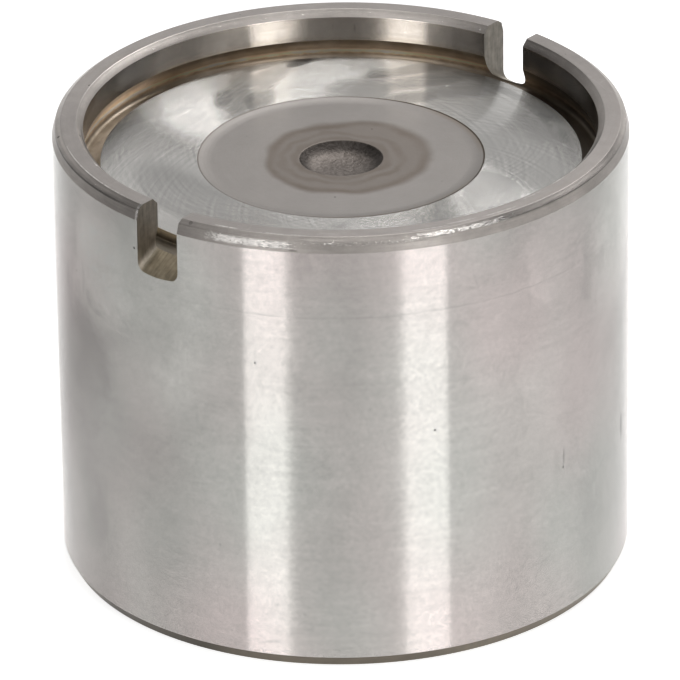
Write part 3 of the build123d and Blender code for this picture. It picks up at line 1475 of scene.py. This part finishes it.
# %% Disc: the ring of oil
tree, shader, marks = bare_steel("disc", 0.5, 0, grain=0.05, lines=7, line_slope=0.03, wander=3)
where = use_group(tree, place_group)
clouds = soft_clouds(tree, 3, 1, 37)
shade = uneven(clouds, marks, cloud=0.05, mottle=0.04, speck=0.05, line=0.08)
broad = soft_clouds(tree, 10, 1, 38)
wander = times_plus(broad["Cloud"], 1.6, -0.8)
wander = times_plus(broad["Mottle"], 0.3, plus(wander, -0.15))
rightward = calculate("SINE", times(where["Turn"], math.pi / 180))
wander = times_plus(rightward, -0.55, wander)
tide = plus(where["Radius"], wander)
# The ring ends in a soft tide, with a line near its edge and two more further in, all in mm
ring = fade(tide, 4.95, 5.75, 1, 0)
edge_line = near(tide, 5, 0.7, 0.65)
inner_tide = times_plus(clouds["Cloud"], 0.9, where["Radius"])
inner_line = near(inner_tide, 4.3, 0.45, 0.4)
close_line = near(inner_tide, 3.35, 0.5, 0.45)
faint = times_plus(inner_line, 0.7, edge_line, clamp=True)
faint = times_plus(close_line, 0.9, faint, clamp=True)
faint = times(faint, times_plus(broad["Mottle"], 0.7, 0.3))
stain = times_plus(ring, 0.55, times(faint, 0.34))
print("disc ring ready")

# %% Disc: stained edge, dots and colour
# Oil in the ramp: at the right, at the front, and a thin dark line right at its top
right_edge = times(near(where["Turn"], 118, 30, 16), remap(where["Radius"], 8.75, 9.2))
front_edge = times(near(where["Turn"], 25, 45, 20), remap(where["Radius"], 8.9, 9.2))
thin_edge = times(remap(where["Radius"], 9.1, 9.16), near(where["Turn"], 85, 120, 60))
thin_edge = largest(thin_edge, times(remap(where["Radius"], 9.13, 9.18), 0.6))
edge_stain = largest(right_edge, front_edge)
dots = spots_at(
    where,
    "Radius",
    [
        (-4.1, 5.89, 0.9, 0.09, 1),
        (155.1, 4.8, 0.9, 0.08, 1),
        (60, 7.4, 0.5, 0.06, 0.5),
        (-120, 7, 0.5, 0.06, 0.4),
    ],
)
stained = mix_colours(stain, (0.268, 0.25, 0.236, 1), (0.13, 0.105, 0.085, 1))
stained = mix_colours(times(edge_stain, 0.6), stained, (0.2, 0.155, 0.11, 1))
stained = mix_colours(thin_edge, stained, (0.06, 0.045, 0.032, 1))
shade = lighten(shade, dots, -0.55)
colour = tone(stained, shade)
rough = times_plus(ring, 0.06, 0.48)
join_up(tree, shader, colour, rough, clouds["Speck"], 0.004, marks)
print("disc finished")

# %% [markdown]
# ## The forged dimple and the inside
#
# The dimple and the inside of the skirt were never cut. They keep the grain of the forging die
# and its scale, a dull grey-brown with small lumps, so their relief matters more than colour.
# One function makes both, with lumps of different sizes. It paints shade on the wall of the dimple.


# %% Forged skin
def forged_skin(name, light_colour, dark_colour, size, depth, seed):
    """Scaled, lumpy steel as the die left it, with painted shade on the wall of the dimple."""
    tree, shader, marks = bare_steel(name, 0.55, 0, grain=0, lines=1.5, line_slope=0.02, wander=2)
    clouds = soft_clouds(tree, size * 6, 1, seed)
    lumps = grains(object_spot(tree), 1 / size / MM, 4, 0.6, 0.4)
    shade = uneven(clouds, marks, cloud=0.2, speck=0.2)
    skin = mix_colours(remap(lumps, 0.35, 0.65), dark_colour, light_colour)
    where = use_group(tree, place_group)
    # Painted shade on the steep wall of the dimple
    painted_wall_shade = times(remap(where["Radius"], 1.9, 2.3), remap(where["Radius"], 2.72, 2.62))
    shade = lighten(shade, painted_wall_shade, -0.45)
    colour = tone(skin, shade)
    rough = times_plus(lumps, 0.2, 0.42)
    join_up(tree, shader, colour, rough, lumps, depth, marks)


forged_skin("dimple", (0.19, 0.168, 0.153, 1), (0.105, 0.09, 0.08, 1), 0.24, 0.05, 41)
forged_skin("inside", (0.36, 0.34, 0.32, 1), (0.24, 0.22, 0.2, 1), 0.9, 0.12, 43)
print("forged skin finished")

# %% [markdown]
# ## The foot and the pad
#
# The chamfered foot was only turned, and the pad that pushes the valve stem was ground again.
# Both show plain tool lines. The foot is dark, because it mirrors the table right below it, and
# painted shade makes its front darker still.


# %% Foot and pad
def cut_steel(name, colour, roughness, anisotropy, lines, line_slope, swing_size, seed, painted_shade_spots=()):
    """Steel with plain tool lines. Places of painted shade are (turn, half turn, fading turn,
    strength).
    """
    tree, shader, marks = bare_steel(name, roughness, anisotropy, 0.08, lines, line_slope, 4)
    clouds = soft_clouds(tree, 4, 1, seed)
    shade = uneven(clouds, marks, cloud=swing_size, mottle=swing_size, line=0.3)
    for turn, half, fading, strength in painted_shade_spots:
        place = near(use_group(tree, place_group)["Turn"], turn, half, fading)
        shade = lighten(shade, place, -strength)
    colour = tone(colour, shade)
    rough = times_plus(clouds["Mottle"], 0.08, roughness - 0.04)
    join_up(tree, shader, colour, rough, clouds["Speck"], 0.004, marks)


foot_painted_shade = [(-10, 38, 18, 0.16), (-43, 26, 15, 0.5)]
cut_steel("foot", (0.235, 0.205, 0.165), 0.42, 0.5, 7, 0.05, 0.2, 47, foot_painted_shade)
cut_steel("pad", (0.55, 0.53, 0.51), 0.28, 0.8, 5, 0.03, 0.08, 53)
print("foot and pad finished")

# %% [markdown]
# ## The milled slots
#
# An end mill cut each slot in one pass. Its walls are grey with upright lines, and its floor
# is rougher, brown with old oil, with lines that follow the cut and a lighter strip where the
# corner of the mill rubbed. The way a face looks decides which of the two it gets.

# %% Finish of the slots
tree, shader, marks = bare_steel("slot", 0.42, 0, grain=0, lines=4, line_slope=0, wander=4)
spot = parts_of(object_spot(tree))
clouds = soft_clouds(tree, 2, 1, 59)
facing = parts_of(add_node("ShaderNodeNewGeometry", tree=tree).outputs["True Normal"])
floor_share = remap(facing["Z"], 0.15, 0.7)
strip = near(facing["Z"], 0.55, 0.3, 0.2)
floor_lines = vector_of(times(spot["Y"], 7), times(spot["X"], 0.7), times(spot["Z"], 0.7))
milled_lines = grains(floor_lines, 1 / MM, 3, 0.6)
wall_lines = vector_of(times(spot["X"], 5), spot["Y"], times(spot["Z"], 0.5))
wall_marks = grains(wall_lines, 1 / MM, 3, 0.6)
tool_marks = blend_values(floor_share, wall_marks, milled_lines)
shade = times(swing(tool_marks, 1.1), swing(clouds["Mottle"], 0.36))
# Painted light and shade: the slot at -X, at the front left, is painted lighter than the one at the
# back right
shade = times(shade, remap(spot["X"], -0.012, 0.012, 1.3, 0.8))
colour = mix_colours(floor_share, (0.35, 0.322, 0.28, 1), (0.278, 0.24, 0.178, 1))
colour = mix_colours(times(strip, 0.7), colour, (0.345, 0.307, 0.258, 1))
colour = tone(colour, shade)
rough = times_plus(tool_marks, 0.2, 0.34)
join_up(tree, shader, colour, rough, tool_marks, 0.02, marks)
print("slots finished")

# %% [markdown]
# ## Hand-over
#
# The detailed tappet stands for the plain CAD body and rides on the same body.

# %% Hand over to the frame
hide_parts("tappet_body")
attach(tappet, "root")
